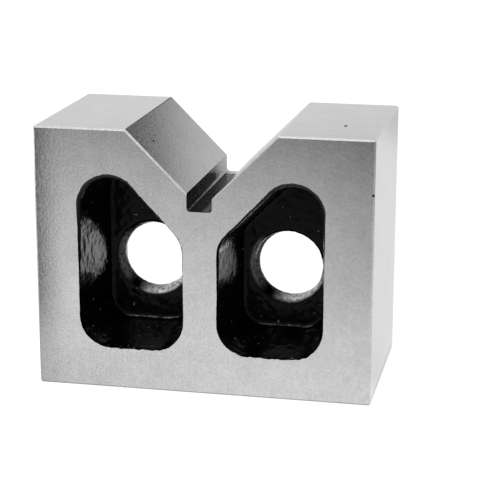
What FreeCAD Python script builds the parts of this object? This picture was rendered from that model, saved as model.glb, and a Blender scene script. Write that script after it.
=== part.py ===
"""V block: one iron casting, cored on both faces and ground all over its outside.

All sizes are millimetres. X runs across the V, Y along it and Z up from the base.
The origin is the middle of the base.
"""
import FreeCAD, Part
import math
import os

# Ground outside faces: across the V, base to top lands, and along the V
WIDTH = 100.0
HEIGHT = 78.5
DEPTH = 55.0

# Ground V: its opening between the two top lands, and the angle between its flanks
VEE_OPENING = 44.5
VEE_ANGLE = 90.0

# Bevel that breaks every edge of the ground faces
EDGE_BREAK = 0.5

# Cast relief slot along the root of the V, and how far it goes below the line
# where the two flanks would meet
RELIEF_WIDTH = 7.5
RELIEF_BELOW_ROOT = 1.0
RELIEF_CORNER = 0.8

# Iron left round the cored windows: beside, below, above, behind each flank, between
SIDE_WALL = 13.4
BASE_WALL = 12.2
TOP_WALL = 13.3
VEE_WALL = 10.1
CENTRE_RIB = 9.7
WINDOW_CORNER = 9.5

# Lip at the top of each window's mouth: how far it rises over the ceiling behind it,
# and how far it stays inside the other walls
LIP_HEIGHT = 0.75
LIP_CLEARANCE = 0.15

# Web that closes both windows half way through, and the taper of the walls down to it
WEB = 6.0
DRAFT_ANGLE = 3.2
WEB_FILLET = 1.8

# Cored hole in each web: its radius, the distance between the two, the height over
# the window's floor, and the bevel round its rims
HOLE_RADIUS = 10.4
HOLE_SPACING = 41.6
HOLE_RISE = 22.1
HOLE_RIM = 0.6

# Slack of the sand cores in their mould: the windows and the slot lie this far to one
# side of the ground outline's middle, and the holes to the other
WINDOW_SHIFT = -0.6
HOLE_SHIFT = 0.3

# How far a cutter runs past the face that it opens
RUN_OUT = 5.0

NODE = "v_block"

HALF_VEE = math.radians(VEE_ANGLE / 2)
ROOT_HEIGHT = HEIGHT - VEE_OPENING / 2 / math.tan(HALF_VEE)
RELIEF_FLOOR = ROOT_HEIGHT - RELIEF_BELOW_ROOT
WINDOW_DEPTH = (DEPTH - WEB) / 2
WALL_TAPER = math.tan(math.radians(DRAFT_ANGLE))


def extruded(outline, y, length):
    """A solid from an XZ outline, from the depth y along +Y."""
    wire = Part.makePolygon([FreeCAD.Vector(x, y, z) for x, z in outline + outline[:1]])
    return Part.Face(wire).extrude(FreeCAD.Vector(0, length, 0))


def ground_blank():
    """The whole block with its V down to a sharp root and its edges broken."""
    outline = [
        (-WIDTH / 2, 0),
        (WIDTH / 2, 0),
        (WIDTH / 2, HEIGHT),
        (VEE_OPENING / 2, HEIGHT),
        (0, ROOT_HEIGHT),
        (-VEE_OPENING / 2, HEIGHT),
        (-WIDTH / 2, HEIGHT),
    ]
    blank = extruded(outline, -DEPTH / 2, DEPTH)
    edges = [edge for edge in blank.Edges if not is_root(edge)]
    return blank.makeChamfer(EDGE_BREAK, edges)


def is_root(edge):
    """Whether an edge is the one where the two flanks meet."""
    middle = edge.CenterOfMass
    return abs(middle.x) < 0.01 and abs(middle.z - ROOT_HEIGHT) < 0.01


def relief_core():
    """The slot along the V's root, with its two floor corners rounded."""
    left = WINDOW_SHIFT - RELIEF_WIDTH / 2
    right = WINDOW_SHIFT + RELIEF_WIDTH / 2
    outline = [(left, RELIEF_FLOOR), (right, RELIEF_FLOOR), (right, HEIGHT), (left, HEIGHT)]
    core = extruded(outline, -DEPTH / 2 - RUN_OUT, DEPTH + 2 * RUN_OUT)
    corners = [
        edge for edge in core.Edges
        if edge.BoundBox.YLength > DEPTH and edge.CenterOfMass.z < RELIEF_FLOOR + 0.01
    ]
    return core.makeFillet(RELIEF_CORNER, corners)


def arc_centres(lowered=0.0):
    """Where a window's corner arcs are centred, for the window on the +X side.

    Each wall line is moved inwards by the corner radius. What the moved lines enclose
    has the arc centres as its corners, also where two arcs run together into one.
    The ceiling, under the land and behind the flank, can be lowered.
    """
    inset = WINDOW_CORNER
    low_x = CENTRE_RIB / 2 + inset
    high_x = WIDTH / 2 - SIDE_WALL - inset
    low_z = BASE_WALL + inset
    high_z = HEIGHT - TOP_WALL - lowered - inset
    slant_drop = (VEE_WALL + lowered + inset) / math.sin(HALF_VEE)
    inner_z = ROOT_HEIGHT - slant_drop + low_x / math.tan(HALF_VEE)
    top_x = (high_z - ROOT_HEIGHT + slant_drop) * math.tan(HALF_VEE)
    centres = [(low_x, low_z), (high_x, low_z)]
    if top_x < high_x:
        centres += [(high_x, high_z), (top_x, high_z)]
    else:
        centres.append((high_x, inner_z + (high_x - low_x) / math.tan(HALF_VEE)))
    return centres + [(low_x, inner_z)]


def rounded_wire(centres, radius, y):
    """Arcs of one radius about the centres, joined by the straight lines that touch them."""
    def out_of_side(start, end):
        """Unit vector out of the side that goes from one centre to the next."""
        run = math.hypot(end[0] - start[0], end[1] - start[1])
        return ((end[1] - start[1]) / run, (start[0] - end[0]) / run)

    def at(centre, way):
        """The point at the radius from a centre, along a unit vector."""
        return FreeCAD.Vector(centre[0] + radius * way[0], y, centre[1] + radius * way[1])

    edges = []
    count = len(centres)
    for index, centre in enumerate(centres):
        before = out_of_side(centres[index - 1], centre)
        after = out_of_side(centre, centres[(index + 1) % count])
        span = math.hypot(before[0] + after[0], before[1] + after[1])
        between = ((before[0] + after[0]) / span, (before[1] + after[1]) / span)
        arc = Part.Arc(at(centre, before), at(centre, between), at(centre, after))
        edges.append(arc.toShape())
        edges.append(Part.makeLine(at(centre, after), at(centres[(index + 1) % count], after)))
    return Part.Wire(edges)


def window_core():
    """The sand core of the front +X window: tapered walls, filleted inner end, lip at the mouth."""
    mouth_y = -DEPTH / 2
    web_y = -WEB / 2
    centres = arc_centres(LIP_HEIGHT)
    outer_end = rounded_wire(centres, WINDOW_CORNER + RUN_OUT * WALL_TAPER, mouth_y - RUN_OUT)
    inner_end = rounded_wire(centres, WINDOW_CORNER - WINDOW_DEPTH * WALL_TAPER, web_y)
    core = Part.makeLoft([outer_end, inner_end], True, True)
    rim = [edge for edge in core.Edges if edge.BoundBox.YMin > web_y - 0.01]
    return core.makeFillet(WEB_FILLET, rim).fuse(mouth_flare(mouth_y))


def mouth_flare(mouth_y):
    """The flare that leaves the lip: it reaches past the core at the ceiling only.

    Its narrow end lies inside the core, past the line where the lip meets the ceiling.
    """
    inside = 3 * LIP_HEIGHT
    corner = WINDOW_CORNER - LIP_CLEARANCE
    wide = rounded_wire(arc_centres(), corner + RUN_OUT, mouth_y - RUN_OUT)
    narrow = rounded_wire(arc_centres(), corner - inside, mouth_y + inside)
    return Part.makeLoft([wide, narrow], True, True)


def hole_core():
    """The core of the +X web's hole, wider at both ends for the bevelled rims."""
    middle_x = HOLE_SPACING / 2
    middle_z = BASE_WALL + HOLE_RISE
    face_y = WEB / 2
    end_y = face_y + HOLE_RIM
    wide = HOLE_RADIUS + HOLE_RIM
    profile = [
        (0, -end_y),
        (wide, -end_y),
        (wide, -face_y),
        (HOLE_RADIUS, HOLE_RIM - face_y),
        (HOLE_RADIUS, face_y - HOLE_RIM),
        (wide, face_y),
        (wide, end_y),
        (0, end_y),
    ]
    points = [FreeCAD.Vector(middle_x + radius, y, middle_z) for radius, y in profile + profile[:1]]
    axis_point = FreeCAD.Vector(middle_x, 0, middle_z)
    return Part.Face(Part.makePolygon(points)).revolve(axis_point, FreeCAD.Vector(0, 1, 0), 360)


def paired(right_cores, shift):
    """Cores of the right half and their mirror images, all moved sideways by one shift."""
    origin = FreeCAD.Vector(0, 0, 0)
    left_cores = [core.mirror(origin, FreeCAD.Vector(1, 0, 0)) for core in right_cores]
    for core in right_cores + left_cores:
        core.translate(FreeCAD.Vector(shift, 0, 0))
    return right_cores + left_cores


def cores():
    """Every core of the casting: four windows, two web holes and the relief slot."""
    front = window_core()
    rear = front.mirror(FreeCAD.Vector(0, 0, 0), FreeCAD.Vector(0, 1, 0))
    return paired([front, rear], WINDOW_SHIFT) + paired([hole_core()], HOLE_SHIFT) + [relief_core()]


def main():
    """Cut the cores out of the ground blank and write the casting."""
    block = ground_blank()
    for core in cores():
        block = block.cut(core)
    os.makedirs("parts", exist_ok=True)
    casting = block.Solids[0]
    casting.exportStep(os.path.join("parts", NODE + ".step"))
    print(NODE, "solids", len(block.Solids), "valid", casting.isValid(), "volume", round(casting.Volume, 1))


main()
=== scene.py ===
"""Dresses the V block: ground iron outside, gloss black paint over the rough cored recesses.

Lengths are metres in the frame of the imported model: X across the V, Y along it away from
the camera, Z up from the ground base.
"""

import logging
import math
from dataclasses import dataclass
from enum import Enum
from functools import reduce
from typing import Callable

import bmesh
import bpy
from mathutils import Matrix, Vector


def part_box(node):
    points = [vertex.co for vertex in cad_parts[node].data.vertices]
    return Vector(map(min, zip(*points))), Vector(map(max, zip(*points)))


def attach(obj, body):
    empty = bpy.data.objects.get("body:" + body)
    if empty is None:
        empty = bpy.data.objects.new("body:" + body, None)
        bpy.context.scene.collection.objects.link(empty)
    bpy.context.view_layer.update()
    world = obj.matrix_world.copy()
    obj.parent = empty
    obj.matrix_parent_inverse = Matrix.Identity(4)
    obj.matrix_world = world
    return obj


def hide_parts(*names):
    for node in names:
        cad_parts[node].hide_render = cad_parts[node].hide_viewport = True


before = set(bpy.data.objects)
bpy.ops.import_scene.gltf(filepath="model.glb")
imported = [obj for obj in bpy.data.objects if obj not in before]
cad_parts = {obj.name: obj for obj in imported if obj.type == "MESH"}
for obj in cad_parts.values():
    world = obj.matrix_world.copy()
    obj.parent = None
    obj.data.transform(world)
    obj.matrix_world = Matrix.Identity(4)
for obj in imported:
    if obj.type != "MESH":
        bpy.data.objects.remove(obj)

NODE = "v_block"
BODY = "root"
MM = 0.001

# How near two points touch, and the angle under which two faces are one flat
TOUCH = 0.01 * MM
STRAIGHT = math.radians(0.5)

# The mirrors that take a core from the front right to its other places
TO_REAR = Vector((1.0, -1.0, 1.0))
TO_LEFT = Vector((-1.0, 1.0, 1.0))
TO_LEFT_REAR = Vector((-1.0, -1.0, 1.0))

# The middle and the usual reach of a noise texture, and the result of a mask that fades out
NOISE_MIDDLE = 0.5
NOISE_SPAN = (0.3, 0.7)
FADING = (1.0, 0.0)
BUMP_STRENGTH = 0.5

Span = tuple[float, float]
Place = tuple[float, float, float]
Socket = bpy.types.NodeSocket

log = logging.getLogger("v_block")


class Stroke(Enum):
    """Which way the grinding wheel ran over a face."""

    UPRIGHT = "upright"
    ALONG_THE_VEE = "along_the_vee"


def deselect_all() -> None:
    """Goes back to object mode with nothing selected."""
    if bpy.context.object is not None and bpy.context.object.mode != "OBJECT":
        bpy.ops.object.mode_set(mode="OBJECT")
    bpy.ops.object.select_all(action="DESELECT")


def take(piece: bpy.types.Object) -> None:
    """Makes a piece the only selected one and the active one.

    Args:
        piece: the piece to work on.
    """
    deselect_all()
    piece.select_set(True)
    bpy.context.view_layer.objects.active = piece


def edit(piece: bpy.types.Object) -> None:
    """Opens a piece in edit mode with nothing selected.

    Args:
        piece: the piece to open.
    """
    take(piece)
    bpy.ops.object.mode_set(mode="EDIT")
    bpy.ops.mesh.select_all(action="DESELECT")


def pick_faces(piece: bpy.types.Object, wanted: Callable[[bmesh.types.BMFace], bool]) -> None:
    """Selects the faces of the piece in edit mode that pass a test, and no others.

    Args:
        piece: the piece that is open in edit mode.
        wanted: says whether a face is to be selected.
    """
    bpy.ops.mesh.select_mode(type="FACE")
    bpy.ops.mesh.select_all(action="DESELECT")
    mesh = bmesh.from_edit_mesh(piece.data)
    for face in mesh.faces:
        if wanted(face):
            face.select_set(True)
    bmesh.update_edit_mesh(piece.data)


def pick_edges(piece: bpy.types.Object, wanted: Callable[[bmesh.types.BMEdge], bool]) -> None:
    """Selects the edges of the piece in edit mode that pass a test, and no others.

    Args:
        piece: the piece that is open in edit mode.
        wanted: says whether an edge is to be selected.
    """
    bpy.ops.mesh.select_mode(type="EDGE")
    bpy.ops.mesh.select_all(action="DESELECT")
    mesh = bmesh.from_edit_mesh(piece.data)
    mesh.normal_update()
    for edge in mesh.edges:
        if wanted(edge):
            edge.select_set(True)
    bmesh.update_edit_mesh(piece.data)


def middle(edge: bmesh.types.BMEdge) -> Vector:
    """The middle point of an edge."""
    return (edge.verts[0].co + edge.verts[1].co) / 2


def faces_front(face: bmesh.types.BMFace) -> bool:
    """Whether a face looks straight out of the front."""
    return face.normal.y < -0.99


def new_box(name: str, place: Vector, size: Vector) -> bpy.types.Object:
    """Adds a box.

    Args:
        name: its name.
        place: its middle.
        size: its size along each axis.

    Returns:
        The box.
    """
    deselect_all()
    bpy.ops.mesh.primitive_cube_add(size=1.0, location=place, scale=size)
    box = bpy.context.object
    box.name = name
    settle(box)
    return box


def settle(piece: bpy.types.Object) -> None:
    """Puts the piece's place, turn and size into its mesh, so that its object is at the origin."""
    take(piece)
    bpy.ops.object.transform_apply(location=True, rotation=True, scale=True)


def close_up(piece: bpy.types.Object) -> None:
    """Merges doubled points and turns every face outwards.

    Args:
        piece: the piece to close up.
    """
    edit(piece)
    bpy.ops.mesh.select_all(action="SELECT")
    bpy.ops.mesh.remove_doubles(threshold=TOUCH / 10)
    bpy.ops.mesh.normals_make_consistent(inside=False)
    bpy.ops.object.mode_set(mode="OBJECT")


def joined(pieces: list[bpy.types.Object], name: str) -> bpy.types.Object:
    """Joins pieces into the first one.

    Args:
        pieces: the pieces to join, two or more.
        name: the name of the joined piece.

    Returns:
        The joined piece.
    """
    take(pieces[0])
    for piece in pieces[1:]:
        piece.select_set(True)
    bpy.ops.object.join()
    pieces[0].name = name
    return pieces[0]


def mirrored(piece: bpy.types.Object, across: Vector) -> bpy.types.Object:
    """Copies a piece, with a mesh of its own, mirrored at the origin.

    Args:
        piece: the piece to copy.
        across: -1 along each axis to mirror, 1 along the others.

    Returns:
        The mirrored copy.
    """
    take(piece)
    bpy.ops.object.duplicate(linked=False)
    copy = bpy.context.object
    edit(copy)
    bpy.ops.mesh.select_all(action="SELECT")
    bpy.ops.transform.resize(value=across, center_override=(0.0, 0.0, 0.0))
    bpy.ops.object.mode_set(mode="OBJECT")
    close_up(copy)
    return copy


def apply_modifier(piece: bpy.types.Object, name: str) -> None:
    """Applies one of a piece's modifiers."""
    take(piece)
    bpy.ops.object.modifier_apply(modifier=name)


@dataclass(frozen=True)
class BlockSizes:
    """Sizes of the whole block that its parts share."""

    width: float
    depth: float
    height: float
    vee_opening: float = 44.5 * MM
    edge_break: float = 0.5 * MM
    run_out: float = 1.5 * MM

    @classmethod
    def of_node(cls, node: str) -> "BlockSizes":
        """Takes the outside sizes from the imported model.

        Args:
            node: the casting's node.

        Returns:
            The sizes.
        """
        low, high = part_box(node)
        return cls(width=high.x - low.x, depth=high.y - low.y, height=high.z - low.z)

    @property
    def root_height(self) -> float:
        """Height of the line where the two flanks of the V would meet."""
        return self.height - self.vee_opening / 2


@dataclass
class GroundBlank:
    """The block as ground: flat faces, the V down to a sharp root and broken edges."""

    sizes: BlockSizes
    vee_edge_break: float = 0.2 * MM
    corner_angle: float = math.radians(60.0)

    def build(self) -> bpy.types.Object:
        """Cuts the V into a plain block and breaks its edges.

        Returns:
            The blank.
        """
        sizes = self.sizes
        blank = new_box(
            "ground_blank",
            Vector((0.0, 0.0, sizes.height / 2)),
            Vector((sizes.width, sizes.depth, sizes.height)),
        )
        self.sink_vee(blank)
        self.break_edges(blank)
        return blank

    def sink_vee(self, blank: bpy.types.Object) -> None:
        """Cuts the top along the V's two edges and its middle, and moves the middle down.

        Args:
            blank: the plain block.
        """
        edit(blank)
        for x in (-self.sizes.vee_opening / 2, 0.0, self.sizes.vee_opening / 2):
            bpy.ops.mesh.select_all(action="SELECT")
            bpy.ops.mesh.bisect(plane_co=(x, 0.0, 0.0), plane_no=(1.0, 0.0, 0.0))
        top = self.sizes.height - TOUCH
        pick_edges(
            blank,
            lambda edge: abs(middle(edge).x) < TOUCH and min(v.co.z for v in edge.verts) > top,
        )
        bpy.ops.transform.translate(value=(0.0, 0.0, -self.sizes.vee_opening / 2))
        bpy.ops.mesh.select_all(action="SELECT")
        bpy.ops.mesh.dissolve_limited(angle_limit=STRAIGHT)
        bpy.ops.object.mode_set(mode="OBJECT")

    def break_edges(self, blank: bpy.types.Object) -> None:
        """Breaks every edge with a small flat, the V's two top edges least, its root not at all.

        Args:
            blank: the block with its V.
        """
        edit(blank)
        vee_side = self.sizes.vee_opening / 2
        pick_edges(
            blank,
            lambda edge: abs(middle(edge).y) < TOUCH and abs(abs(middle(edge).x) - vee_side) < TOUCH,
        )
        bpy.ops.mesh.bevel(offset=self.vee_edge_break, offset_type="OFFSET", segments=1)

        def is_corner(edge: bmesh.types.BMEdge) -> bool:
            """Whether an edge is one of the outside corners that are still sharp."""
            is_root = (middle(edge) - Vector((0.0, 0.0, self.sizes.root_height))).length < TOUCH
            return not is_root and edge.calc_face_angle(0.0) > self.corner_angle

        pick_edges(blank, is_corner)
        bpy.ops.mesh.bevel(offset=self.sizes.edge_break, offset_type="OFFSET", segments=1)
        bpy.ops.object.mode_set(mode="OBJECT")


@dataclass
class WindowCore:
    """The sand core of the front right window."""

    sizes: BlockSizes
    side_wall: float = 13.4 * MM
    base_wall: float = 12.2 * MM
    vee_wall: float = 10.1 * MM
    centre_rib: float = 9.7 * MM
    corner: float = 9.5 * MM
    web_corner: float = 6.5 * MM
    web_drop: float = 0.6 * MM
    web: float = 6.0 * MM
    web_fillet: float = 0.6 * MM
    lip_drop: float = 0.8 * MM
    lip_narrowing: float = 0.4 * MM
    lip_round: float = 2.0 * MM
    lip_ground_off: float = 0.25 * MM
    face_tilt: float = math.radians(1.8)
    rim_scale: float = 1.12
    disc_sides: int = 96

    def arc_places(self) -> list[Span]:
        """Works out where the corner arcs are centred.

        Returns:
            Their X and Z: the two low ones, then the two high ones.
        """
        low_x = self.centre_rib / 2 + self.corner
        high_x = self.sizes.width / 2 - self.side_wall - self.corner
        low_z = self.base_wall + self.corner
        slant_drop = (self.vee_wall + self.corner) * math.sqrt(2.0)
        inner_z = self.sizes.root_height - slant_drop + low_x
        return [(low_x, low_z), (high_x, low_z), (high_x, inner_z + high_x - low_x), (low_x, inner_z)]

    def build(self) -> bpy.types.Object:
        """Sets a disc at each corner of both ends, wraps them in one hull and rounds its ends.

        Returns:
            The core, with a plate in front of the face that carries the rounding.
        """
        mouth_y = -self.sizes.depth / 2 - self.lip_ground_off
        web_y = -self.web / 2
        discs = []
        for number, (x, z) in enumerate(self.arc_places()):
            is_high = number > 1
            mouth_z = z - self.lip_drop if is_high else z
            mouth_radius = self.corner - self.lip_narrowing if is_high else self.corner
            discs.append(self.disc(Vector((x, mouth_y, mouth_z)), mouth_radius))
            discs.append(self.disc(Vector((x, web_y, z - self.web_drop)), self.web_corner))
        core = joined(discs, "window_core")
        settle(core)
        self.wrap(core)
        self.round_inner_end(core, web_y)
        self.add_rim(core)
        close_up(core)
        return core

    def disc(self, place: Vector, radius: float) -> bpy.types.Object:
        """Adds a flat disc that faces along the V.

        Args:
            place: its middle.
            radius: its radius.

        Returns:
            The disc.
        """
        deselect_all()
        bpy.ops.mesh.primitive_circle_add(
            vertices=self.disc_sides,
            radius=radius,
            fill_type="NGON",
            location=place,
            rotation=(math.pi / 2, 0.0, 0.0),
        )
        return bpy.context.object

    def wrap(self, core: bpy.types.Object) -> None:
        """Replaces the discs by the hull round them.

        Args:
            core: the joined discs.
        """
        edit(core)
        bpy.ops.mesh.select_all(action="SELECT")
        bpy.ops.mesh.convex_hull()
        bpy.ops.mesh.select_all(action="SELECT")
        bpy.ops.mesh.dissolve_limited(angle_limit=STRAIGHT)

    def round_inner_end(self, core: bpy.types.Object, web_y: float) -> None:
        """Rounds the edge where the walls meet the web."""
        pick_edges(core, lambda edge: min(v.co.y for v in edge.verts) > web_y - TOUCH)
        bpy.ops.mesh.bevel(offset=self.web_fillet, offset_type="OFFSET", segments=5, profile=0.5)

    def add_rim(self, core: bpy.types.Object) -> None:
        """Widens the mouth to a plate in front of the face and rounds the corner under it.

        The plate leans forwards, so that grinding leaves the rounding as a lip at the top only.

        Args:
            core: the core, open in edit mode.
        """
        face_y = -self.sizes.depth / 2
        top_z = max(point.co.z for point in bmesh.from_edit_mesh(core.data).verts)
        pick_faces(core, faces_front)
        bpy.ops.mesh.extrude_region_move(TRANSFORM_OT_translate={"value": (0.0, 0.0, 0.0)})
        bpy.ops.transform.resize(value=(self.rim_scale, 1.0, self.rim_scale))
        bpy.ops.mesh.extrude_region_move(
            TRANSFORM_OT_translate={"value": (0.0, -self.sizes.run_out, 0.0)}
        )
        pick_faces(core, lambda face: face.calc_center_median().y < face_y)
        bpy.ops.transform.rotate(
            value=self.face_tilt,
            orient_axis="X",
            center_override=(0.0, face_y - self.lip_ground_off, top_z),
        )

        def is_under_rim(edge: bmesh.types.BMEdge) -> bool:
            """Finds the line between the walls and the plate.

            Args:
                edge: an edge of the core.

            Returns:
                Whether the edge is part of it.
            """
            turns = [abs(face.normal.y) for face in edge.link_faces]
            reach = max(face.calc_center_median().y for face in edge.link_faces)
            ends_wall = reach > face_y + self.web and min(turns) < 0.5
            return ends_wall and max(turns) > 0.9 and middle(edge).y < face_y

        pick_edges(core, is_under_rim)
        bpy.ops.mesh.bevel(offset=self.lip_round, offset_type="OFFSET", segments=6, profile=0.5)
        bpy.ops.object.mode_set(mode="OBJECT")


@dataclass
class HoleCore:
    """Half of the core of a hole through the right web, the half towards the front."""

    sizes: BlockSizes
    window: WindowCore
    flare: float = 1.0
    slip: Vector = Vector((0.0, 0.0, 0.0))
    radius: float = 10.1 * MM
    spacing: float = 41.6 * MM
    rise: float = 21.9 * MM
    rim_round: float = 0.5 * MM
    overlap: float = 0.3 * MM
    sides: int = 128

    def build(self) -> bpy.types.Object:
        """Makes a drum half through the web, flares its front end and adds a rim with a rounded corner.

        Returns:
            The half core.
        """
        face_y = -self.window.web / 2
        depth = self.overlap - face_y
        place = Vector((self.spacing / 2, face_y + depth / 2, self.window.base_wall + self.rise))
        deselect_all()
        bpy.ops.mesh.primitive_cylinder_add(
            vertices=self.sides,
            radius=self.radius,
            depth=depth,
            location=place,
            rotation=(math.pi / 2, 0.0, 0.0),
        )
        core = bpy.context.object
        core.name = "hole_core"
        settle(core)
        edit(core)
        pick_faces(core, faces_front)
        mouth = Vector((place.x, face_y, place.z))
        bpy.ops.transform.resize(value=(self.flare, 1.0, self.flare), center_override=mouth)
        bpy.ops.transform.translate(value=self.slip)
        end = mouth + self.slip
        wide = self.radius * self.flare
        grow = 1.0 + 2.0 * self.rim_round / wide
        bpy.ops.mesh.extrude_region_move(TRANSFORM_OT_translate={"value": (0.0, 0.0, 0.0)})
        bpy.ops.transform.resize(value=(grow, 1.0, grow), center_override=end)
        bpy.ops.mesh.extrude_region_move(TRANSFORM_OT_translate={"value": (0.0, -self.sizes.run_out, 0.0)})

        def is_under_rim(edge: bmesh.types.BMEdge) -> bool:
            """Whether an edge lies on the hole's mouth at the web's face."""
            return all((point.co - end).length < wide + TOUCH for point in edge.verts)

        pick_edges(core, is_under_rim)
        bpy.ops.mesh.bevel(offset=self.rim_round, offset_type="OFFSET", segments=4, profile=0.5)
        bpy.ops.object.mode_set(mode="OBJECT")
        close_up(core)
        return core


@dataclass
class ReliefCore:
    """The core of the slot along the V's root."""

    sizes: BlockSizes
    width: float = 7.5 * MM
    below_root: float = 1.0 * MM
    above_root: float = 8.0 * MM
    corner: float = 0.8 * MM

    def build(self) -> bpy.types.Object:
        """Makes a bar longer than the block, with its two lower edges rounded.

        Returns:
            The core.
        """
        floor = self.sizes.root_height - self.below_root
        tall = self.below_root + self.above_root
        core = new_box(
            "relief_core",
            Vector((0.0, 0.0, floor + tall / 2)),
            Vector((self.width, self.sizes.depth + 2 * self.sizes.run_out, tall)),
        )
        edit(core)
        pick_edges(core, lambda edge: middle(edge).z < floor + TOUCH and abs(middle(edge).x) > TOUCH)
        bpy.ops.mesh.bevel(offset=self.corner, offset_type="OFFSET", segments=3, profile=0.5)
        bpy.ops.object.mode_set(mode="OBJECT")
        return core


@dataclass
class SandCores:
    """All cores of the mould as one rough body, as sand leaves it."""

    sizes: BlockSizes
    window_shift: float = -0.6 * MM
    hole_shift: float = 0.3 * MM
    rear_window_slip: float = -0.6 * MM
    right_flare: float = 1.08
    right_slip: Vector = Vector((-0.1, 0.0, -0.7)) * MM
    right_rear_slip: Vector = Vector((0.6, 0.0, -0.4)) * MM
    left_flare: float = 1.09
    left_slip: Vector = Vector((0.8, 0.0, 0.3)) * MM
    grain: float = 0.55 * MM
    calm_skin: float = 0.25
    calm_past_face: float = 0.1 * MM
    slot_reach: float = 5.5 * MM
    ragged_depth: float = 1.5 * MM
    ragged_rise: float = 2.5 * MM

    def build(self) -> bpy.types.Object:
        """Makes the cores, mirrors them to their places, fuses and roughens them.

        Returns:
            The cores as one body.
        """
        window = WindowCore(self.sizes)
        front = window.build()
        rear = mirrored(front, TO_REAR)
        left_rear = mirrored(rear, TO_LEFT)
        self.shift([rear, left_rear], Vector((self.rear_window_slip, 0.0, 0.0)))
        windows = [front, rear, mirrored(front, TO_LEFT), left_rear]
        right_half = HoleCore(self.sizes, window, self.right_flare, self.right_slip).build()
        left_half = HoleCore(self.sizes, window, self.left_flare, self.left_slip).build()
        rear_half = HoleCore(self.sizes, window).build()
        holes = [right_half, mirrored(left_half, TO_LEFT), mirrored(rear_half, TO_REAR)]
        self.shift(holes[2:], self.right_rear_slip)
        holes.append(mirrored(rear_half, TO_LEFT_REAR))
        joined([left_half, rear_half], "used_halves")
        bpy.ops.object.delete()
        relief = ReliefCore(self.sizes).build()
        self.shift(windows + [relief], Vector((self.window_shift, 0.0, 0.0)))
        self.shift(holes, Vector((self.hole_shift, 0.0, 0.0)))
        cores = joined(windows + holes + [relief], "sand_cores")
        self.fuse(cores)
        self.roughen(cores)
        self.flatten_facets(cores)
        return cores

    def shift(self, pieces: list[bpy.types.Object], way: Vector) -> None:
        """Moves cores in their mould.

        Args:
            pieces: the cores to move.
            way: which way and how far.
        """
        for piece in pieces:
            piece.location = way
            settle(piece)

    def fuse(self, cores: bpy.types.Object) -> None:
        """Turns the joined cores into one skin of even grain with soft edges.

        Args:
            cores: the joined cores.
        """
        grain = cores.modifiers.new("grain", "REMESH")
        grain.mode = "VOXEL"
        grain.voxel_size = self.grain
        apply_modifier(cores, "grain")
        soft = cores.modifiers.new("soft", "SMOOTH")
        soft.factor = 0.5
        soft.iterations = 2
        apply_modifier(cores, "soft")

    def flatten_facets(self, cores: bpy.types.Object) -> None:
        """Splits the skin into triangles, which a ground face cuts cleanly.

        Args:
            cores: the roughened cores.
        """
        edit(cores)
        bpy.ops.mesh.select_all(action="SELECT")
        bpy.ops.mesh.quads_convert_to_tris(quad_method="SHORTEST_DIAGONAL")
        bpy.ops.object.mode_set(mode="OBJECT")

    def roughen(self, cores: bpy.types.Object) -> None:
        """Raises the skin by cloudy noise, less in the slot and more low on the windows' mouths.

        Args:
            cores: the fused cores.
        """
        skin = cores.vertex_groups.new(name="skin")
        ragged = cores.vertex_groups.new(name="ragged")
        slot_floor = self.sizes.root_height - ReliefCore(self.sizes).below_root - self.grain
        low = WindowCore(self.sizes).base_wall + self.ragged_rise
        near = self.sizes.depth / 2 - self.ragged_depth
        outside = self.sizes.depth / 2 + self.calm_past_face
        for point in cores.data.vertices:
            in_slot = abs(point.co.x) < self.slot_reach and point.co.z > slot_floor
            is_calm = in_slot or abs(point.co.y) > outside
            skin.add([point.index], self.calm_skin if is_calm else 1.0, "REPLACE")
            if abs(point.co.y) > near and point.co.z < low:
                ragged.add([point.index], 1.0, "REPLACE")
        for name, size, strength, group in (
            ("swell", 7.0 * MM, 0.20 * MM, "skin"),
            ("lumps", 2.2 * MM, 0.12 * MM, "skin"),
            ("grit", 1.1 * MM, 0.10 * MM, "skin"),
            ("breaks", 1.3 * MM, 0.7 * MM, "ragged"),
        ):
            cloud = bpy.data.textures.new(name, "CLOUDS")
            cloud.noise_scale = size
            cloud.noise_depth = 1
            bump = cores.modifiers.new(name, "DISPLACE")
            bump.texture = cloud
            bump.texture_coords = "LOCAL"
            bump.strength = strength
            bump.mid_level = 0.5
            bump.vertex_group = group
            apply_modifier(cores, name)


@dataclass(frozen=True)
class Blemish:
    """A small pit in a ground face, in millimetres, and how many times longer it is along the V."""

    place: Place
    radius: float
    length: float = 1.0


@dataclass
class Blemishes:
    """The pits in the ground faces."""

    unevenness: float = 0.06 * MM
    pits: tuple[Blemish, ...] = (
        Blemish((49.7, -27.5, 62.7), 0.45),
        Blemish((38.7, -8.6, 78.5), 0.5, 2.2),
        Blemish((-16.9, -15.9, 73.1), 0.4, 1.5),
    )

    def build(self) -> bpy.types.Object:
        """Makes one small uneven ball for each pit.

        Returns:
            The balls as one body.
        """
        balls = []
        for number, pit in enumerate(self.pits):
            deselect_all()
            bpy.ops.mesh.primitive_ico_sphere_add(
                subdivisions=3, radius=pit.radius * MM, location=Vector(pit.place) * MM
            )
            ball = bpy.context.object
            edit(ball)
            bpy.ops.mesh.select_all(action="SELECT")
            bpy.ops.transform.vertex_random(
                offset=self.unevenness, uniform=0.0, normal=1.0, seed=number + 1
            )
            bpy.ops.transform.resize(value=(1.0, pit.length, 1.0), center_override=ball.location)
            bpy.ops.object.mode_set(mode="OBJECT")
            settle(ball)
            balls.append(ball)
        return joined(balls, "pit_cutters")


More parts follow.
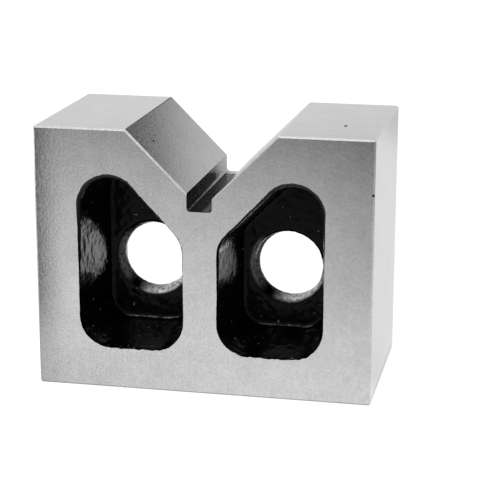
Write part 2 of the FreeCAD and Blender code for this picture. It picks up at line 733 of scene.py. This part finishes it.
class Shader:
    """A material's or a group's node tree, with short calls to fill it."""

    def __init__(self, tree: bpy.types.NodeTree) -> None:
        """Keeps the tree."""
        self.tree = tree

    def add(self, kind: str, **settings: object) -> bpy.types.Node:
        """Adds a node.

        Args:
            kind: the node's type.
            settings: attributes to set on it.

        Returns:
            The node.
        """
        node = self.tree.nodes.new(kind)
        for name, value in settings.items():
            setattr(node, name, value)
        return node

    def link(self, source: Socket, target: Socket) -> None:
        """Links two sockets."""
        self.tree.links.new(source, target)

    def feed(self, target: Socket, value: Socket | float) -> None:
        """Links a socket to an input, or sets a number on it.

        Args:
            target: the input.
            value: the socket or the number.
        """
        if isinstance(value, Socket):
            self.link(value, target)
        else:
            target.default_value = value

    def group(self, tree: bpy.types.NodeTree, **values: Socket | float) -> bpy.types.Node:
        """Places a node group.

        Args:
            tree: the group's tree.
            values: its inputs by name, as sockets or numbers.

        Returns:
            The group's node.
        """
        node = self.add("ShaderNodeGroup", node_tree=tree)
        for name, value in values.items():
            self.feed(node.inputs[name], value)
        return node

    def noise(self, vector: Socket, scale: float, detail: float = 2.0) -> Socket:
        """Adds a noise texture.

        Args:
            vector: where it is read.
            scale: how many lumps a metre.
            detail: how many finer octaves.

        Returns:
            Its value.
        """
        node = self.add("ShaderNodeTexNoise")
        node.inputs["Scale"].default_value = scale
        node.inputs["Detail"].default_value = detail
        self.link(vector, node.inputs["Vector"])
        return node.outputs["Fac"]

    def math(self, operation: str, *values: Socket | float) -> Socket:
        """Adds a math node.

        Args:
            operation: what it does.
            values: its inputs, as sockets or numbers.

        Returns:
            Its value.
        """
        node = self.add("ShaderNodeMath", operation=operation)
        for place, value in enumerate(values):
            self.feed(node.inputs[place], value)
        return node.outputs[0]

    def product(self, *values: Socket | float) -> Socket:
        """Multiplies values, one after another."""
        return reduce(lambda first, second: self.math("MULTIPLY", first, second), values)

    def total(self, *values: Socket | float) -> Socket:
        """Adds values up, one after another."""
        return reduce(lambda first, second: self.math("ADD", first, second), values)

    def blend(self, first: Socket | float, second: Socket | float, share: Socket) -> Socket:
        """Goes from one value to another.

        Args:
            first: the value where the share is 0.
            second: the value where the share is 1.
            share: how far it has gone.

        Returns:
            The value between them.
        """
        step = self.math("SUBTRACT", second, first)
        return self.total(first, self.product(share, step))

    def spread(
        self, value: Socket, span: Span, result: Span = (0.0, 1.0), way: str = "SMOOTHSTEP"
    ) -> Socket:
        """Maps a range of a value to another range, and stays level outside it.

        Args:
            value: the value.
            span: where the range starts and ends.
            result: what it gives at the start and at the end.
            way: how it goes from one to the other.

        Returns:
            The mapped value.
        """
        node = self.add("ShaderNodeMapRange", interpolation_type=way)
        for name, number in zip(("From Min", "From Max", "To Min", "To Max"), span + result):
            node.inputs[name].default_value = number
        self.link(value, node.inputs["Value"])
        return node.outputs["Result"]

    def measure(self, operation: str, vector: Socket, other: Place = (0.0, 0.0, 0.0)) -> Socket:
        """Adds a vector math node that gives a number.

        Args:
            operation: what it does.
            vector: its first input.
            other: its second input, for an operation that has two.

        Returns:
            Its value.
        """
        node = self.add("ShaderNodeVectorMath", operation=operation)
        node.inputs[1].default_value = other
        self.link(vector, node.inputs[0])
        return node.outputs["Value"]

    def split(self, vector: Socket) -> tuple[Socket, ...]:
        """Splits a vector.

        Args:
            vector: the vector.

        Returns:
            Its X, Y and Z.
        """
        node = self.add("ShaderNodeSeparateXYZ")
        self.link(vector, node.inputs["Vector"])
        return tuple(node.outputs)

    def grey(self, tone: Socket) -> Socket:
        """Makes a colour of one value.

        Args:
            tone: how much red, green and blue it has.

        Returns:
            The colour.
        """
        node = self.add("ShaderNodeCombineColor")
        for name in ("Red", "Green", "Blue"):
            self.link(tone, node.inputs[name])
        return node.outputs["Color"]

    def bumped(self, height: Socket, distance: float) -> Socket:
        """Makes a normal that follows a height.

        Args:
            height: the height.
            distance: how far a height of 1 stands out.

        Returns:
            The normal.
        """
        node = self.add("ShaderNodeBump")
        node.inputs["Distance"].default_value = distance
        node.inputs["Strength"].default_value = BUMP_STRENGTH
        self.link(height, node.inputs["Height"])
        return node.outputs["Normal"]

    def mapped(self, scale: Place = (1.0, 1.0, 1.0)) -> Socket:
        """Reads the object coordinates.

        Args:
            scale: by how much they are stretched along each axis.

        Returns:
            The coordinates.
        """
        coordinates = self.add("ShaderNodeTexCoord")
        mapping = self.add("ShaderNodeMapping")
        mapping.inputs["Scale"].default_value = scale
        self.link(coordinates.outputs["Object"], mapping.inputs["Vector"])
        return mapping.outputs["Vector"]


def new_material(name: str) -> tuple[bpy.types.Material, Shader, bpy.types.NodeInputs]:
    """Makes a material with its Principled shader.

    Args:
        name: the material's name.

    Returns:
        The material, its tree and its shader's inputs.
    """
    material = bpy.data.materials.new(name)
    material.use_nodes = True
    return material, Shader(material.node_tree), material.node_tree.nodes["Principled BSDF"].inputs


@dataclass(frozen=True)
class GroundGrain:
    """What all ground faces share: the wheel's marks, the metal's mottle and a coarser front."""

    marks_scale: float = 1400.0
    marks_height: float = 0.1
    grain_scale: float = 1100.0
    grain_share: float = 1.2
    blotch_scale: float = 380.0
    patch_scale: float = 110.0
    blotch_share: float = 0.6
    mottle_middle: float = 1.2
    polish: Span = (-0.03, 0.04)
    pore_scale: float = 2400.0
    pore_across: Span = (-45.0 * MM, 35.0 * MM)
    pore_depths: Span = (3.2, 1.2)
    pore_front: Span = (-27.3 * MM, -26.5 * MM)
    pore_fading: Span = (1.0, 0.3)

    def build(self) -> bpy.types.NodeTree:
        """Makes the node group.

        Returns:
            The group's tree, which puts out a colour, a roughness and a height.
        """
        tree = bpy.data.node_groups.new("ground_grain", "ShaderNodeTree")
        for in_out, kind, names in (
            ("INPUT", "NodeSocketVector", ("place", "stroke_place")),
            ("INPUT", "NodeSocketFloat", ("tone", "marks", "mottle", "roughness")),
            ("OUTPUT", "NodeSocketColor", ("colour",)),
            ("OUTPUT", "NodeSocketFloat", ("roughness", "height")),
        ):
            for name in names:
                tree.interface.new_socket(name=name, in_out=in_out, socket_type=kind)
        shader = Shader(tree)
        given = shader.add("NodeGroupInput").outputs
        result = shader.add("NodeGroupOutput").inputs
        streaks = shader.noise(given["stroke_place"], self.marks_scale, 3.0)
        grain = shader.noise(given["place"], self.grain_scale, 3.0)
        marks = shader.product(shader.total(streaks, -NOISE_MIDDLE), given["marks"])
        clouds = shader.product(self.clouds(shader, given["place"], grain), given["mottle"])
        pores = shader.product(self.pores(shader, given["place"]), given["mottle"])
        tone = shader.total(given["tone"], marks, clouds, pores)
        shader.link(shader.grey(tone), result["colour"])
        polish = shader.spread(grain, NOISE_SPAN, self.polish)
        shader.link(shader.total(polish, given["roughness"]), result["roughness"])
        height = shader.total(shader.product(streaks, self.marks_height), grain)
        shader.link(height, result["height"])
        return tree

    def clouds(self, shader: Shader, place: Socket, grain: Socket) -> Socket:
        """The metal's mottle in three sizes.

        Args:
            shader: the group's tree.
            place: the object coordinates.
            grain: the finest mottle.

        Returns:
            A value about 0.
        """
        blotches = shader.noise(place, self.blotch_scale)
        patches = shader.noise(place, self.patch_scale, 3.0)
        coarse = shader.product(shader.total(blotches, patches), self.blotch_share)
        return shader.total(shader.product(grain, self.grain_share), coarse, -self.mottle_middle)

    def pores(self, shader: Shader, place: Socket) -> Socket:
        """The open grain of the front face, coarsest at its left.

        Args:
            shader: the group's tree.
            place: the object coordinates.

        Returns:
            A value about 0.
        """
        x, y, _ = shader.split(place)
        depth = shader.spread(x, self.pore_across, self.pore_depths)
        in_front = shader.spread(y, self.pore_front, self.pore_fading)
        fine = shader.total(shader.noise(place, self.pore_scale, 1.0), -NOISE_MIDDLE)
        return shader.product(fine, depth, in_front)


@dataclass(frozen=True)
class GroundIron:
    """Ground cast iron: satin grey, marked along one stroke of the wheel."""

    stroke: Stroke
    grain: bpy.types.NodeTree
    tone: float = 0.56
    roughness: float = 0.09
    mottle: float = 0.16
    marks: float = 0.035
    stretch: float = 0.06
    bump: float = 0.02 * MM

    def build(self) -> bpy.types.Material:
        """Makes the material.

        Returns:
            The material.
        """
        material, shader, surface = new_material("ground_iron_" + self.stroke.value)
        upright = self.stroke is Stroke.UPRIGHT
        look = shader.group(
            self.grain,
            place=shader.mapped(),
            stroke_place=shader.mapped((1.0, 1.0, self.stretch) if upright else (1.0, self.stretch, 1.0)),
            tone=self.tone,
            marks=self.marks,
            mottle=self.mottle,
            roughness=self.roughness,
        ).outputs
        shader.link(look["colour"], surface["Base Color"])
        shader.link(look["roughness"], surface["Roughness"])
        shader.link(shader.bumped(look["height"], self.bump), surface["Normal"])
        surface["Metallic"].default_value = 1.0
        return material


@dataclass(frozen=True)
class SlotPaintedSheen:
    """Painted highlights and reflections in the relief slot: a lighter rear end, and a light line in the
    corners beside its floor that grows towards the rear.
    """

    middle_x: float = -0.6 * MM
    wall_begins: Span = (3.2 * MM, 3.6 * MM)
    slot_ends: Span = (4.3 * MM, 4.8 * MM)
    rear_wall: Span = (11.0 * MM, 22.0 * MM)
    rear_floor: Span = (26.2 * MM, 27.6 * MM)
    corner_up: Span = (55.9 * MM, 56.15 * MM)
    corner_along: Span = (-30.0 * MM, 28.0 * MM)
    corner_tones: Span = (0.08, 0.6)
    corner_fall: float = 0.02
    ragged_along: float = 6.0 * MM
    ragged_up: float = 0.5 * MM
    lump_scale: float = 420.0
    # how light the painted reflections at the rear end are
    tone: float = 0.55

    def build(self, shader: Shader, place: Socket, skin: Socket) -> Socket:
        """Finds where the painted highlights and reflections lie.

        Args:
            shader: the material's tree.
            place: the object coordinates.
            skin: the casting skin's noise.

        Returns:
            How light they are.
        """
        x, y, z = shader.split(place)
        from_middle = shader.math("ABSOLUTE", shader.total(x, -self.middle_x))
        on_wall = shader.spread(from_middle, self.wall_begins)
        in_slot = shader.spread(from_middle, self.slot_ends, FADING)
        lumps = shader.noise(place, self.lump_scale)
        along = shader.total(y, shader.product(lumps, self.ragged_along))
        # painted reflection: the rear of the slot's walls made light
        wall = shader.product(on_wall, shader.spread(along, self.rear_wall, (0.0, self.tone)))
        fall = shader.product(shader.math("MAXIMUM", y, 0.0), self.corner_fall)
        up = shader.math("SUBTRACT", shader.total(z, shader.product(skin, self.ragged_up)), fall)
        # painted highlight: a light line in the corners beside the floor, growing towards the rear
        corner = shader.product(
            on_wall,
            shader.spread(up, self.corner_up, FADING),
            shader.spread(y, self.corner_along, self.corner_tones),
        )
        along = shader.total(y, shader.product(skin, self.ragged_along))
        # painted reflection: the rear end of the slot's floor made light
        floor = shader.spread(along, self.rear_floor, (0.0, self.tone))
        light = shader.math("MAXIMUM", wall, shader.math("MAXIMUM", corner, floor))
        return shader.product(light, in_slot)


@dataclass(frozen=True)
class HoleWallPaintedLight:
    """Painted light on the web holes' walls: near white low on their right, faint grey on their left."""

    from_middle: float = 20.8 * MM
    shift: float = 0.3 * MM
    height: float = 34.1 * MM
    wall_ends: Span = (11.0 * MM, 12.0 * MM)
    web_ends: Span = (2.9 * MM, 3.6 * MM)
    painted_lit_way: Place = (0.5, 0.0, -0.87)
    painted_lit_turn: Span = (0.5, 0.98)
    painted_lit_tone: float = 0.95
    painted_sheen_turn: Span = (-0.95, -0.6)
    painted_sheen_tone: float = 0.3
    skin_span: Span = (0.3, 0.6)
    skin_shares: Span = (0.3, 1.0)

    def build(self, shader: Shader, place: Socket, skin: Socket) -> Socket:
        """Finds where the painted light lies.

        Args:
            shader: the material's tree.
            place: the object coordinates.
            skin: the casting skin's noise.

        Returns:
            How light they are.
        """
        x, y, z = shader.split(place)
        axis_x = shader.product(shader.math("SIGN", x), self.from_middle)
        across = shader.math("SUBTRACT", shader.total(x, -self.shift), axis_x)
        spoke = shader.add("ShaderNodeCombineXYZ")
        shader.link(across, spoke.inputs["X"])
        shader.link(shader.total(z, -self.height), spoke.inputs["Z"])
        radius = shader.measure("LENGTH", spoke.outputs[0])
        low_right = shader.measure("DOT_PRODUCT", spoke.outputs[0], self.painted_lit_way)
        low_right = shader.math("DIVIDE", low_right, radius)
        # painted light: the hole walls made near white at their lower right and faint grey at their left
        painted_lit = shader.spread(low_right, self.painted_lit_turn, (0.0, self.painted_lit_tone))
        right = shader.math("DIVIDE", across, radius)
        painted_faint_sheen = shader.spread(right, self.painted_sheen_turn, (self.painted_sheen_tone, 0.0))
        return shader.product(
            shader.math("MAXIMUM", painted_lit, painted_faint_sheen),
            shader.spread(skin, self.skin_span, self.skin_shares),
            shader.spread(shader.math("ABSOLUTE", y), self.web_ends, FADING),
            shader.spread(radius, self.wall_ends, FADING),
        )


@dataclass(frozen=True)
class RecessPaint:
    """Gloss black paint over the rough casting skin."""

    tone: float = 0.001
    roughness: float = 0.15
    polish: Span = (-0.04, 0.06)
    refraction: float = 1.18
    bump: float = 0.04 * MM
    skin_scale: float = 900.0
    lip_along: Span = (25.6 * MM, 26.4 * MM)
    lip_up: Span = (36.0 * MM, 58.0 * MM)
    lip_across: Span = (5.0 * MM, 6.0 * MM)
    # lightness of the painted reflection on the upper lips of the window mouths
    painted_lip_sheen_tone: float = 0.024
    dust: Span = (0.82, 0.86)
    dust_tone: float = 0.14
    line_starts: Span = (2.9 * MM, 3.1 * MM)
    line_ends: Span = (3.25 * MM, 3.5 * MM)
    line_up: Span = (14.9 * MM, 15.4 * MM)
    # lightness of the painted highlight low on the webs
    painted_web_highlight_tone: float = 0.08
    gap_scale: float = 260.0
    gaps: Span = (0.45, 0.56)

    def build(self) -> bpy.types.Material:
        """Makes the material.

        Returns:
            The material.
        """
        material, shader, surface = new_material("recess_paint")
        place = shader.mapped()
        skin = shader.noise(place, self.skin_scale, 3.0)
        slot_and_hole_painted_light = shader.math(
            "MAXIMUM", SlotPaintedSheen().build(shader, place, skin), HoleWallPaintedLight().build(shader, place, skin)
        )
        # the paint's black, plus painted reflections, highlights and light in the slot, holes, lips and
        # webs, plus specks of dust
        tone = shader.total(self.sheen_highlights_and_dust(shader, place), slot_and_hole_painted_light, self.tone)
        shader.link(shader.grey(tone), surface["Base Color"])
        roughness = tuple(self.roughness + change for change in self.polish)
        shader.link(shader.spread(skin, NOISE_SPAN, roughness), surface["Roughness"])
        shader.link(shader.bumped(skin, self.bump), surface["Normal"])
        surface["IOR"].default_value = self.refraction
        return material

    def sheen_highlights_and_dust(self, shader: Shader, place: Socket) -> Socket:
        """The painted reflection on the upper lips, the broken painted highlight low on the webs, and
        specks of dust.

        Args:
            shader: the material's tree.
            place: the object coordinates.

        Returns:
            How light they are.
        """
        x, y, z = shader.split(place)
        from_middle = shader.math("ABSOLUTE", y)
        # painted reflection: the upper lips of the window mouths made lighter
        lip = shader.product(
            shader.spread(from_middle, self.lip_along),
            shader.spread(z, self.lip_up, (0.0, self.painted_lip_sheen_tone)),
            shader.spread(shader.math("ABSOLUTE", x), self.lip_across),
        )
        # painted highlight: a broken light line where the web meets the window floor
        line = shader.product(
            shader.spread(from_middle, self.line_starts),
            shader.spread(from_middle, self.line_ends, FADING),
            shader.spread(z, self.line_up, (self.painted_web_highlight_tone, 0.0)),
            shader.spread(shader.noise(place, self.gap_scale), self.gaps),
        )
        dust = shader.noise(place, self.skin_scale, 0.0)
        return shader.total(lip, line, shader.spread(dust, self.dust, (0.0, self.dust_tone)))


@dataclass(frozen=True)
class DarkPitMatte:
    """A dull, dark, matte finish in the pits."""

    tones: Span = (0.012, 0.028)
    scale: float = 3000.0
    roughness: float = 0.9
    refraction: float = 1.1

    def build(self) -> bpy.types.Material:
        """Makes the material.

        Returns:
            The material.
        """
        material, shader, surface = new_material("dark_pit_matte")
        pit_mottle = shader.noise(shader.mapped(), self.scale, 1.0)
        shader.link(shader.grey(shader.spread(pit_mottle, NOISE_SPAN, self.tones)), surface["Base Color"])
        surface["Roughness"].default_value = self.roughness
        surface["IOR"].default_value = self.refraction
        return material


@dataclass
class Casting:
    """The whole V block as one piece."""

    sizes: BlockSizes
    name: str = "v_block_casting"
    smooth_below: float = math.radians(35.0)
    flat_within: float = math.radians(5.0)
    level_above: float = 0.5
    ground_finishes: int = 2

    def build(self) -> bpy.types.Object:
        """Cuts the cores and the pits out of the ground blank and dresses what is left.

        Returns:
            The finished casting.
        """
        blank = GroundBlank(self.sizes).build()
        grain = GroundGrain().build()
        upright = GroundIron(Stroke.UPRIGHT, grain).build()
        along = GroundIron(Stroke.ALONG_THE_VEE, grain).build()
        paint = RecessPaint().build()
        blank.data.materials.append(upright)
        blank.data.materials.append(along)
        for face in blank.data.polygons:
            face.material_index = 1 if abs(face.normal.z) > self.level_above else 0
        cores = SandCores(self.sizes).build()
        self.cut(blank, cores, paint)
        self.cut(blank, Blemishes().build(), DarkPitMatte().build())
        self.clean(blank)
        blank.name = self.name
        blank.data.name = self.name
        self.smooth(blank)
        return blank

    def clean(self, blank: bpy.types.Object) -> None:
        """Takes out the doubled points and slivers that the cuts leave.

        Args:
            blank: the cut block.
        """
        edit(blank)
        bpy.ops.mesh.select_all(action="SELECT")
        bpy.ops.mesh.remove_doubles(threshold=TOUCH / 2)
        bpy.ops.mesh.dissolve_degenerate(threshold=TOUCH / 2)
        bpy.ops.mesh.delete_loose()
        bpy.ops.object.mode_set(mode="OBJECT")
        close_up(blank)

    def smooth(self, blank: bpy.types.Object) -> None:
        """Shades the casting smooth, but for corners and for the line where the paint ends.

        Args:
            blank: the cut block.
        """
        take(blank)
        bpy.ops.object.shade_smooth_by_angle(angle=self.smooth_below, keep_sharp_edges=False)
        edit(blank)

        def stays_crisp(edge: bmesh.types.BMEdge) -> bool:
            """Whether an edge has paint on one side only, or is a corner between ground flats."""
            ground = {face.material_index < self.ground_finishes for face in edge.link_faces}
            return len(ground) > 1 or (ground == {True} and edge.calc_face_angle(0.0) > self.flat_within)

        pick_edges(blank, stays_crisp)
        bpy.ops.mesh.mark_sharp()
        bpy.ops.object.mode_set(mode="OBJECT")
        weigh = blank.modifiers.new("weigh", "WEIGHTED_NORMAL")
        weigh.mode = "FACE_AREA"
        weigh.keep_sharp = True
        apply_modifier(blank, "weigh")

    def cut(self, blank: bpy.types.Object, cutter: bpy.types.Object, finish: bpy.types.Material) -> None:
        """Cuts a body out of the blank and gives the cut faces a finish.

        Args:
            blank: what is cut.
            cutter: the body to cut away, which is deleted.
            finish: the material of the cut faces.
        """
        cutter.data.materials.clear()
        cutter.data.materials.append(finish)
        cut = blank.modifiers.new("cut", "BOOLEAN")
        cut.operation = "DIFFERENCE"
        cut.solver = "EXACT"
        cut.material_mode = "TRANSFER"
        cut.object = cutter
        apply_modifier(blank, "cut")
        take(cutter)
        bpy.ops.object.delete()


@dataclass(frozen=True)
class Shade:
    """A painted shade with a soft edge that darkens the table on one side of a line."""

    way: Place
    edge: Span
    depth: float
    along: Span
    shares: Span

    def build(self, shader: Shader, place: Socket) -> Socket:
        """Finds what the painted shade leaves of the light.

        Args:
            shader: the table's tree.
            place: the object coordinates.

        Returns:
            The share of light that is left.
        """
        beyond = shader.measure("DOT_PRODUCT", place, self.way)
        _, y, _ = shader.split(place)
        taken = shader.product(
            shader.spread(beyond, self.edge, (0.0, self.depth)), shader.spread(y, self.along, self.shares)
        )
        return shader.math("SUBTRACT", 1.0, taken)


@dataclass(frozen=True)
class Table:
    """A plane that is white for the camera, and that the block sees with painted pools of light, shade and
    shadow, in metres.
    """

    footprint: Span
    side: float = 6.0
    seen_light: float = 0.85
    seen_tone: float = 0.25
    front_way: Place = (0.53, -0.85, 0.0)
    front_reach: Span = (0.0, 0.42)
    front_light: Span = (1.20, 0.15)
    behind: Span = (-0.03, 0.0)
    behind_light: float = 0.85
    pool_across: Span = (0.010, 0.025)
    pool_light: Span = (0.85, 1.45)
    pool_starts: Span = (0.05, 0.09)
    pool_ends: Span = (0.18, 0.26)
    right_across: Span = (0.042, 0.054)
    right_light: float = 0.74
    shadow_place: Place = (-0.075, 0.0, 0.0)
    shadow_reach: Span = (0.0, 0.12)
    shadow_light: Span = (0.68, 1.0)
    contact_shadow: Span = (0.99, 1.02)
    contact_shadow_light: Span = (0.55, 1.0)
    shades: tuple[Shade, ...] = (
        Shade((-0.9445, 0.3286, 0.0), (0.0262, 0.0422), 0.9, (-0.13, -0.04), (1.0, 0.3)),
        Shade((0.9925, -0.1225, 0.0), (0.018, 0.058), 0.18, (-0.16, -0.06), (1.0, 0.0)),
    )

    def build(self) -> None:
        """Lays the plane and gives it its material."""
        deselect_all()
        bpy.ops.mesh.primitive_plane_add(size=self.side, location=(0.0, 0.0, 0.0))
        table = bpy.context.object
        table.name = "table"
        material = bpy.data.materials.new("table_white")
        material.use_nodes = True
        shader = Shader(material.node_tree)
        shader.tree.nodes.clear()
        lit = shader.add("ShaderNodeEmission")
        shader.link(self.light(shader), lit.inputs["Strength"])
        seen = shader.add("ShaderNodeEmission")
        seen.inputs["Strength"].default_value = self.seen_light
        pale = shader.add("ShaderNodeBsdfDiffuse")
        pale.inputs["Color"].default_value = (self.seen_tone, self.seen_tone, self.seen_tone, 1.0)
        both = shader.add("ShaderNodeAddShader")
        shader.link(seen.outputs[0], both.inputs[0])
        shader.link(pale.outputs[0], both.inputs[1])
        mix = shader.add("ShaderNodeMixShader")
        shader.link(shader.add("ShaderNodeLightPath").outputs["Is Camera Ray"], mix.inputs["Fac"])
        shader.link(lit.outputs[0], mix.inputs[1])
        shader.link(both.outputs[0], mix.inputs[2])
        shader.link(mix.outputs[0], shader.add("ShaderNodeOutputMaterial").inputs["Surface"])
        table.data.materials.append(material)

    def light(self, shader: Shader) -> Socket:
        """Finds how bright the block sees the table.

        Args:
            shader: the table's tree.

        Returns:
            The brightness.
        """
        place = shader.mapped()
        x, y, _ = shader.split(place)
        far_x = shader.math("DIVIDE", shader.math("ABSOLUTE", x), self.footprint[0] / 2)
        far_y = shader.math("DIVIDE", shader.math("ABSOLUTE", y), self.footprint[1] / 2)
        far = shader.math("MAXIMUM", far_x, far_y)
        ahead = shader.measure("DOT_PRODUCT", place, self.front_way)
        near = shader.measure("DISTANCE", place, self.shadow_place)
        # painted light and shade: a falloff ahead, a pool behind, a contact shadow under the block, the
        # block's shadow on its left and two painted shades
        return shader.product(
            shader.spread(ahead, self.front_reach, self.front_light, "LINEAR"),
            self.rear_light(shader, x, y),
            shader.spread(far, self.contact_shadow, self.contact_shadow_light),
            shader.spread(near, self.shadow_reach, self.shadow_light),
            *(shade.build(shader, place) for shade in self.shades),
        )

    def rear_light(self, shader: Shader, x: Socket, y: Socket) -> Socket:
        """Finds how the light changes behind the block: a bright pool, and dimmer on the right.

        Args:
            shader: the table's tree.
            x: the place across the V.
            y: the place along the V.

        Returns:
            The share of light, 1 in front of the block.
        """
        pool = shader.product(
            shader.spread(x, self.pool_across, self.pool_light),
            shader.spread(y, self.pool_starts),
            shader.spread(y, self.pool_ends, FADING),
        )
        bright = shader.total(pool, self.behind_light)
        bright = shader.blend(bright, self.right_light, shader.spread(x, self.right_across))
        return shader.blend(1.0, bright, shader.spread(y, self.behind))


@dataclass(frozen=True)
class Dome:
    """The sky: white for the camera, else white low down, darker above and white on top.

    The heights are those of a direction's Z, where 1 is straight up. The left stays lighter.
    """

    low_light: float = 1.09
    lean: float = 0.12
    gentle: Span = (0.165, 0.20)
    gentle_fall: float = 0.16
    steep: Span = (0.249, 0.284)
    steep_fall: float = 0.76
    top: Span = (0.5, 0.75)
    top_rise: float = 1.38
    left: Span = (-0.82, -0.66)
    left_rise: float = 1.25

    def build(self) -> None:
        """Makes the world."""
        world = bpy.data.worlds.new("dome")
        bpy.context.scene.world = world
        world.use_nodes = True
        shader = Shader(world.node_tree)
        shader.tree.nodes.clear()
        x, _, z = shader.split(shader.add("ShaderNodeTexCoord").outputs["Generated"])
        leaning = shader.total(z, shader.product(x, self.lean))
        gentle = shader.spread(leaning, self.gentle, (0.0, self.gentle_fall))
        steep = shader.spread(leaning, self.steep, (0.0, self.steep_fall))
        top = shader.spread(z, self.top, (0.0, self.top_rise))
        left = shader.product(shader.spread(x, self.left, (self.left_rise, 0.0)), steep)
        light = shader.total(top, left, self.low_light)
        light = shader.math("SUBTRACT", light, shader.total(gentle, steep))
        strength = shader.add("ShaderNodeMix", data_type="FLOAT")
        path = shader.add("ShaderNodeLightPath")
        shader.link(path.outputs["Is Camera Ray"], strength.inputs["Factor"])
        shader.link(light, strength.inputs["A"])
        strength.inputs["B"].default_value = 1.0
        background = shader.add("ShaderNodeBackground")
        shader.link(strength.outputs["Result"], background.inputs["Strength"])
        shader.link(background.outputs[0], shader.add("ShaderNodeOutputWorld").inputs["Surface"])


@dataclass(frozen=True)
class Lamp:
    """A soft square lamp that faces the block: its place and side in metres, its power in watts."""

    name: str
    place: Place
    side: float
    power: float

    def build(self) -> None:
        """Hangs the lamp."""
        deselect_all()
        turn = (-Vector(self.place)).to_track_quat("-Z", "Y").to_euler()
        bpy.ops.object.light_add(type="AREA", location=self.place, rotation=turn)
        lamp = bpy.context.object
        lamp.name = self.name
        lamp.data.size = self.side
        lamp.data.energy = self.power


@dataclass
class Studio:
    """A white table under a white dome, two lamps and the camera."""

    footprint: Span
    lamps: tuple[Lamp, ...] = (
        Lamp("overhead_lamp", (0.15, -0.1, 0.9), side=0.7, power=0.15),
        Lamp("front_lamp", (-0.32, -0.72, 0.45), side=0.25, power=3.0),
    )
    camera_place: Place = (0.104708, -0.472734, 0.170416)
    camera_turn: Place = (74.5603, -0.1588, 11.5160)
    lens: float = 118.25

    def build(self) -> None:
        """Makes the table, the dome, the lamps and the camera."""
        Table(self.footprint).build()
        Dome().build()
        for lamp in self.lamps:
            lamp.build()
        self.set_camera()

    def set_camera(self) -> None:
        """Sets the camera where the photo was taken from."""
        deselect_all()
        turn = tuple(math.radians(angle) for angle in self.camera_turn)
        bpy.ops.object.camera_add(location=self.camera_place, rotation=turn)
        camera = bpy.context.object
        camera.data.lens = self.lens
        camera.data.sensor_width = 36.0
        camera.data.clip_start = 0.01
        camera.data.clip_end = 20.0
        camera.data.dof.use_dof = False
        scene = bpy.context.scene
        scene.camera = camera
        scene.view_settings.view_transform = "Standard"


def main() -> None:
    """Builds the casting and the studio in order."""
    logging.basicConfig(level=logging.INFO, format="%(name)s: %(message)s")
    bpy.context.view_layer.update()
    sizes = BlockSizes.of_node(NODE)
    casting = Casting(sizes).build()
    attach(casting, BODY)
    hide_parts(NODE)
    log.info("casting: %d faces", len(casting.data.polygons))
    Studio((sizes.width, sizes.depth)).build()


if __name__ == "__main__":
    main()
